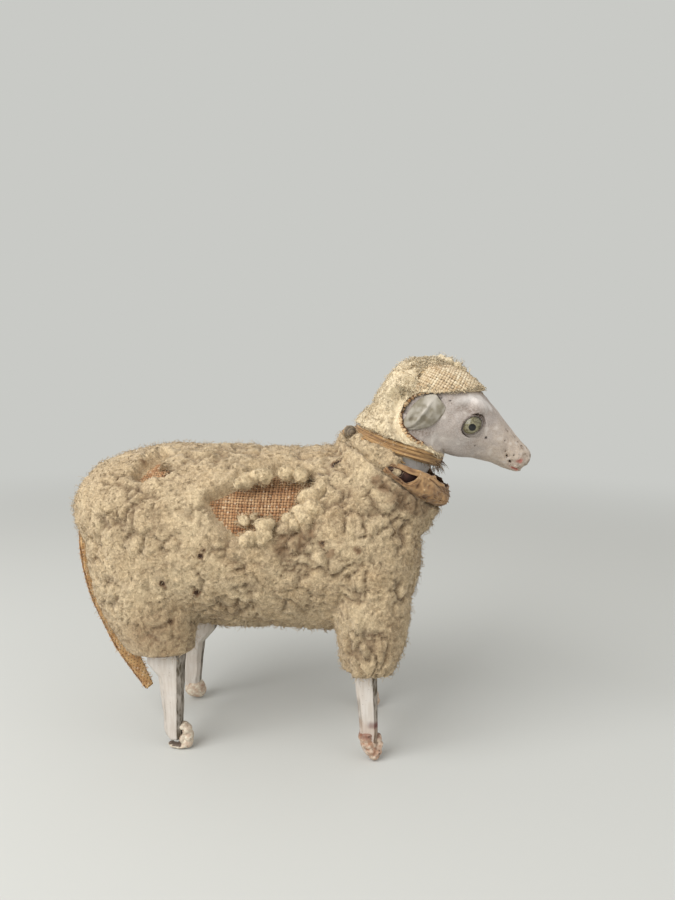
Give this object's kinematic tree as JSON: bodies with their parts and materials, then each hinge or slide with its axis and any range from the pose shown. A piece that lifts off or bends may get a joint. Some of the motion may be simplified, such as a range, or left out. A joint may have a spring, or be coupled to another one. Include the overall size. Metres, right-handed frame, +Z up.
{
  "type": "sheep figurine",
  "caption": "Woolly sheep figurine standing on whittled stick legs, with a wool fleece on woven cloth, a moulded composition head, glass eyes, leather ears and a torn silk ribbon",
  "frame": {"origin": "on the ground under the middle of the whole figure, at the bottom centre of its bounding box", "axes": "+X forward to the nose, +Y to the animal's left, +Z up"},
  "size_m": [0.1002, 0.0368, 0.0863],
  "materials": {
    "wool": "curly matted cream wool, soft and dusty",
    "woven_cloth": "plain open weave, unbleached, aged to tan",
    "pressed_pulp": "rough pressed paper pulp",
    "composition": "moulded composition with old off-white paint, crazed and specked",
    "hoof_composition": "moulded composition, worn paint, chipped",
    "painted_wood": "whittled softwood under thin chalky white paint",
    "bare_wood": "bare turned softwood",
    "eye_glass": "glossy opaque olive glass",
    "wire": "dull iron wire",
    "ear_leather": "thin hard leather, pale grey, slightly glossy",
    "silk_ribbon": "old silk ribbon, faded to straw, frayed"
  },
  "bodies": {
    "root": {"body_core": "pressed_pulp", "body_cloth": "woven_cloth", "body_fleece": "wool", "head": "composition", "neck_dowel": "bare_wood", "hood_cloth": "woven_cloth", "hood_fleece": "wool", "eye_right": "eye_glass", "eye_left": "eye_glass", "eye_wire_right": "wire", "eye_wire_left": "wire", "ear_right": "ear_leather", "ear_left": "ear_leather", "neck_ribbon": "silk_ribbon", "throat_ribbon": "silk_ribbon", "ribbon_knot": "silk_ribbon", "leg_front_right": "painted_wood", "leg_front_left": "painted_wood", "leg_rear_right": "painted_wood", "leg_rear_left": "painted_wood", "hoof_front_right": "hoof_composition", "hoof_front_left": "hoof_composition", "hoof_rear_right": "hoof_composition", "hoof_rear_left": "hoof_composition", "tail_cloth": "woven_cloth", "tail_fleece": "wool"}
  },
  "joints": []
}
